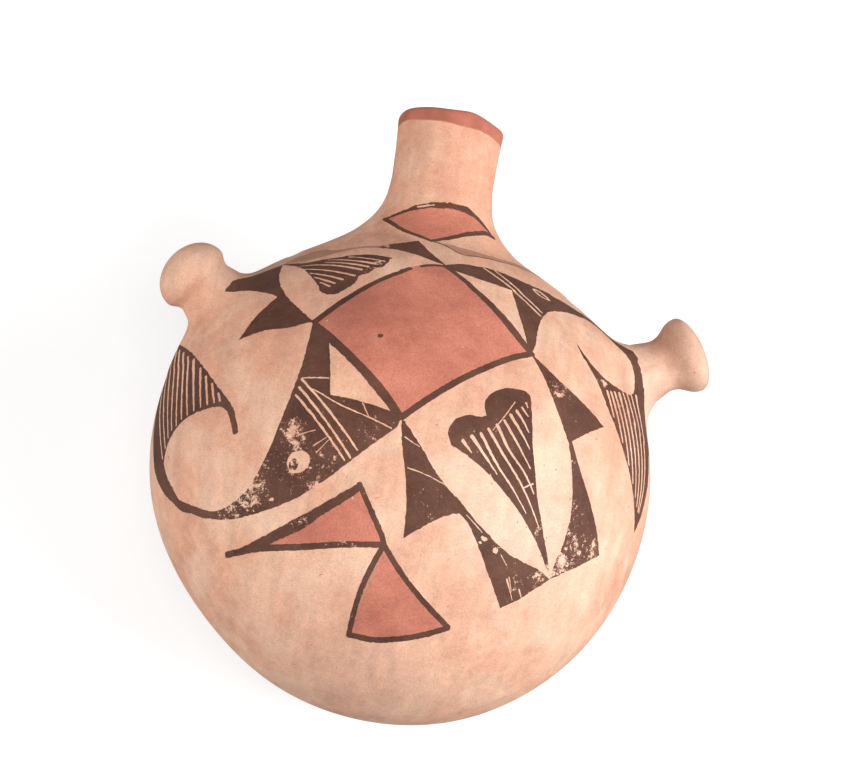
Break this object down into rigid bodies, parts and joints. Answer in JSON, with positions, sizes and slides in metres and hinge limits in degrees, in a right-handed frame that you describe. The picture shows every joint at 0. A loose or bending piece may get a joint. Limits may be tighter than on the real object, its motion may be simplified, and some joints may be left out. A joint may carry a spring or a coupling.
{
  "type": "pottery canteen",
  "caption": "Round hand-built pottery canteen with a domed painted front, a flat-resting back, a flared neck and knob lugs for a carrying cord.",
  "frame": {"origin": "centre of the flat rest in the middle of the back", "axes": "+Z from the flat rest towards the domed front, +Y towards the side of the neck, X from lug to lug"},
  "size_m": [0.2794, 0.309, 0.182],
  "materials": {
    "slipped_clay": "matt slip, stone-polished, with painted ornament"
  },
  "bodies": {
    "root": {"canteen": "slipped_clay"}
  },
  "joints": []
}
